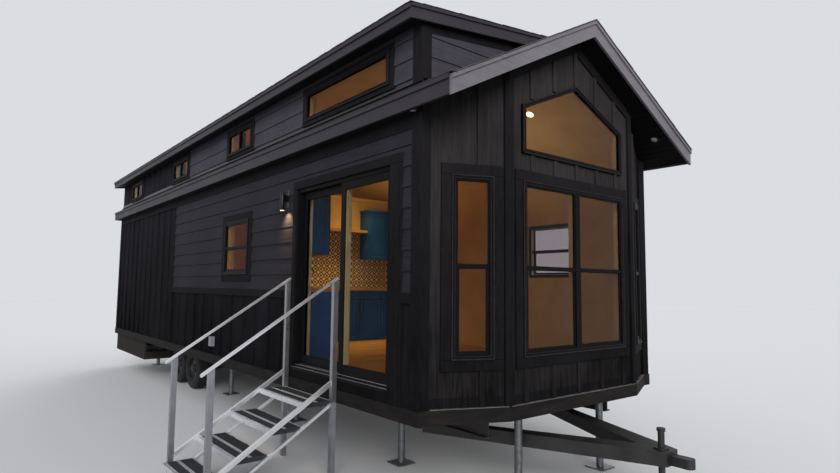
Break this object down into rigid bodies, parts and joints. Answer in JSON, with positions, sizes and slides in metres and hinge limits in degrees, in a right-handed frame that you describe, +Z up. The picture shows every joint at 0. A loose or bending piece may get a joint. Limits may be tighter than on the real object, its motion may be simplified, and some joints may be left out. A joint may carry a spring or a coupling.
{
  "type": "tiny house on wheels",
  "caption": "Dark clad park-model cabin with a three-sided front bay, long dormer, sliding patio door, trailer chassis with tandem wheels, and an entry stair with handrails.",
  "frame": {"origin": "on the ground, at the middle of the whole object seen from above", "axes": "-Y is the front with the bay and the tongue, -X is the side with the patio door and the stair, +Z is up"},
  "size_m": [5.08, 12.8059, 4.5834],
  "materials": {
    "aluminium": "mill finish",
    "cabinet": "satin blue paint",
    "chassis": "satin black",
    "fascia": "satin dark grey paint",
    "floor": "oak boards",
    "frame": "satin black",
    "glass": "clear",
    "inlet": "grey",
    "light": "satin black",
    "oak": "satin",
    "plaster": "cream paint",
    "shingle": "weathered asphalt shingle",
    "siding": "matte dark charcoal paint",
    "stand": "galvanised grey",
    "tread": "grip strips",
    "trim": "matte dark charcoal paint",
    "tyre": "black"
  },
  "bodies": {
    "house": {"chassis_rails": "chassis", "cross_members": "chassis", "tongue": "chassis", "tongue_jack": "chassis", "axles": "chassis", "support_stands": "stand", "underfloor_box": "siding", "floor_deck": "floor", "left_wall_front": "siding", "left_wall_over_door": "siding", "left_wall_rear": "siding", "right_wall": "siding", "rear_wall": "siding", "bay_left_wall": "siding", "bay_front_wall": "siding", "bay_right_wall": "siding", "dormer_front_wall": "siding", "main_roof": "shingle", "bay_roof": "shingle", "dormer_roof": "shingle", "eave_roof": "shingle", "eave_fascias": "fascia", "dormer_fascias": "fascia", "barge_boards": "fascia", "corner_boards": "trim", "trim_boards": "trim", "belly_band": "trim", "window_casings": "trim", "door_casing": "trim", "window_frames": "frame", "bay_window_frames": "frame", "gable_window_frame": "frame", "dormer_window_frames": "frame", "window_glass": "glass", "bay_window_glass": "glass", "gable_window_glass": "glass", "dormer_window_glass": "glass", "door_frame": "frame", "door_fixed_panel": "frame", "door_fixed_glass": "glass", "outside_lights": "light", "power_inlet": "inlet", "kitchen_wall": "plaster", "kitchen_cabinets": "cabinet", "kitchen_worktop": "oak", "kitchen_shelf": "oak", "stair_posts": "aluminium", "stair_stringers": "aluminium", "stair_handrails": "aluminium", "stair_treads": "tread"},
    "sliding_panel": {"door_sliding_panel": "frame", "door_sliding_glass": "glass"},
    "wheel_left_front": {"wheel_left_front": "tyre"},
    "wheel_left_rear": {"wheel_left_rear": "tyre"},
    "wheel_right_front": {"wheel_right_front": "tyre"},
    "wheel_right_rear": {"wheel_right_rear": "tyre"}
  },
  "joints": [
    {"name": "patio_door_slide", "type": "slide", "parent": "house", "child": "sliding_panel", "axis": [0, -1, 0], "range_m": [0, 0.75]},
    {"name": "wheel_left_front_spin", "type": "hinge", "parent": "house", "child": "wheel_left_front", "pos_m": [-0.661, 2.113, 0.37], "axis": [1, 0, 0], "continuous": true},
    {"name": "wheel_left_rear_spin", "type": "hinge", "parent": "house", "child": "wheel_left_rear", "pos_m": [-0.661, 2.951, 0.37], "axis": [1, 0, 0], "continuous": true},
    {"name": "wheel_right_front_spin", "type": "hinge", "parent": "house", "child": "wheel_right_front", "pos_m": [1.849, 2.113, 0.37], "axis": [1, 0, 0], "continuous": true},
    {"name": "wheel_right_rear_spin", "type": "hinge", "parent": "house", "child": "wheel_right_rear", "pos_m": [1.849, 2.951, 0.37], "axis": [1, 0, 0], "continuous": true}
  ]
}
